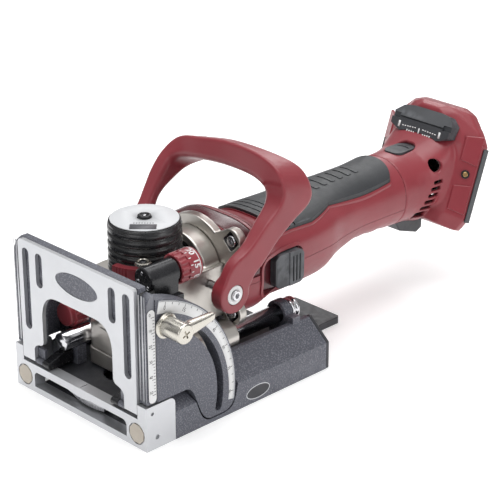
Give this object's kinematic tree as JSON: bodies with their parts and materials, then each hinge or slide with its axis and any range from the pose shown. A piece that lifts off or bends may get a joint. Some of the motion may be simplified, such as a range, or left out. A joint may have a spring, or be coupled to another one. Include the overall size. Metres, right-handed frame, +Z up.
{
  "type": "biscuit joiner",
  "caption": "Cordless biscuit joiner: motor grip with bow handle sliding on twin rods over a flat base, slotted front frame, tilting scaled fence, clamp lever, ribbed drive dome, battery foot.",
  "frame": {"origin": "on the sole's lower face, at mid width, straight below the cutter spindle's axis at rest", "axes": "+Z up from the sole; -Y towards the work, the way the cutter comes out; +X towards the side with the slide switch and the fence clamp"},
  "size_m": [0.1423, 0.3443, 0.1477],
  "materials": {
    "machined_aluminium": "fine-milled and satin",
    "dark_casting": "dark grey hammered powder coat",
    "charcoal_plate": "charcoal satin coat",
    "black_metal": "black satin coat",
    "black_plastic": "matt ribbed moulding",
    "nickel_casting": "as-cast with a warm sheen",
    "polished_steel": "polished",
    "ground_steel": "ground",
    "nickel_lever": "nickel plated",
    "red_plastic": "fine moulded grain, maroon red",
    "grey_plastic": "matt moulded",
    "grey_rubber": "soft overmould",
    "white_print": "white printed",
    "sand_pad": "gritty anti-slip",
    "bearing_bronze": "sintered",
    "copper_pack": "wound"
  },
  "bodies": {
    "base": {"front_frame": "machined_aluminium", "side_housing_right": "dark_casting", "side_housing_left": "dark_casting", "end_cap_right": "charcoal_plate", "end_cap_left": "charcoal_plate", "sole_plate": "charcoal_plate", "top_cover": "charcoal_plate", "grip_pad_right": "sand_pad", "grip_pad_left": "sand_pad", "guide_rod_right": "polished_steel", "guide_rod_left": "polished_steel", "rod_collar_right": "polished_steel", "rod_collar_left": "polished_steel", "clamp_strut": "black_metal", "pivot_bracket_right": "black_metal", "pivot_bracket_left": "black_metal", "depth_stop_barrel": "black_metal"},
    "fence": {"fence_carrier": "dark_casting", "fence_cheek_right": "dark_casting", "fence_cheek_left": "dark_casting", "height_scale": "white_print"},
    "fence_slide": {"fence_plate": "machined_aluminium"},
    "clamp": {"clamp_lever": "nickel_lever"},
    "depth_turret": {"depth_dial": "red_plastic"},
    "motor_unit": {"gear_case": "nickel_casting", "gear_flange": "nickel_casting", "flange_screw_right": "ground_steel", "flange_screw_left": "ground_steel", "drive_dome": "black_plastic", "dome_disc": "white_print", "hub_screw": "ground_steel", "slide_carrier": "nickel_casting", "rod_bush_right": "bearing_bronze", "rod_bush_left": "bearing_bronze", "motor_housing_upper": "red_plastic", "motor_housing_lower": "red_plastic", "top_pad": "grey_rubber", "bow_handle": "red_plastic", "handle_bolt_right": "ground_steel", "handle_bolt_left": "ground_steel", "handle_washer_right": "white_print", "handle_washer_left": "white_print", "tail_housing": "red_plastic", "bumper": "grey_plastic", "contact_block": "black_plastic", "side_bumper_right": "grey_plastic", "side_bumper_left": "grey_plastic", "belt_hook": "grey_plastic", "shaft_bearing": "ground_steel", "stator": "copper_pack"},
    "mode_selector": {"mode_lever": "red_plastic", "mode_knob": "nickel_lever"},
    "switch": {"slide_switch": "grey_plastic"},
    "release_button": {"battery_button": "grey_plastic"},
    "quill": {"quill": "ground_steel"},
    "spindle": {"spindle": "ground_steel", "cutter": "ground_steel"},
    "crown": {"crown_gear": "ground_steel"},
    "rotor": {"rotor": "ground_steel", "cooling_fan": "black_plastic"}
  },
  "joints": [
    {"name": "fence_tilt", "type": "hinge", "parent": "base", "child": "fence", "pos_m": [0, -0.0535, 0.0225], "axis": [1, 0, 0], "range_deg": [0, 90]},
    {"name": "fence_height", "type": "slide", "parent": "fence", "child": "fence_slide", "axis": [0, 0, 1], "range_m": [0, 0.05]},
    {"name": "clamp_turn", "type": "hinge", "parent": "base", "child": "clamp", "pos_m": [0.0714, -0.03969, 0.07832], "axis": [1, 0, 0], "range_deg": [0, 60]},
    {"name": "depth_turn", "type": "hinge", "parent": "base", "child": "depth_turret", "pos_m": [0.0355, 0, 0.0955], "axis": [0, 1, 0], "continuous": true},
    {"name": "plunge", "type": "slide", "parent": "base", "child": "motor_unit", "axis": [0, -1, 0], "range_m": [0, 0.02], "stiffness_N_per_m": 900, "springref_m": -0.02},
    {"name": "mode_turn", "type": "hinge", "parent": "motor_unit", "child": "mode_selector", "pos_m": [0, 0, 0.09], "axis": [0, 0, 1], "range_deg": [-20, 0]},
    {"name": "switch_slide", "type": "slide", "parent": "motor_unit", "child": "switch", "axis": [0, -1, 0], "range_m": [0, 0.008]},
    {"name": "battery_release", "type": "slide", "parent": "motor_unit", "child": "release_button", "axis": [0, 0, -1], "range_m": [0, 0.0025], "stiffness_N_per_m": 800, "springref_m": -0.002},
    {"name": "quill_swing", "type": "slide", "parent": "motor_unit", "child": "quill", "axis": [0, 0, 1], "range_m": [-0.0006, 0.0006]},
    {"name": "spindle_spin", "type": "hinge", "parent": "quill", "child": "spindle", "pos_m": [0, 0, 0.03], "axis": [0, 0, 1], "continuous": true},
    {"name": "crown_spin", "type": "hinge", "parent": "motor_unit", "child": "crown", "pos_m": [0, 0, 0.06], "axis": [0, 0, 1], "continuous": true},
    {"name": "rotor_spin", "type": "hinge", "parent": "motor_unit", "child": "rotor", "pos_m": [0, 0.1, 0.0734], "axis": [0, 1, 0], "continuous": true}
  ],
  "couplings": [
    {"joint": "crown_spin", "follows": "spindle_spin", "ratio": 1},
    {"joint": "rotor_spin", "follows": "spindle_spin", "ratio": 3}
  ]
}
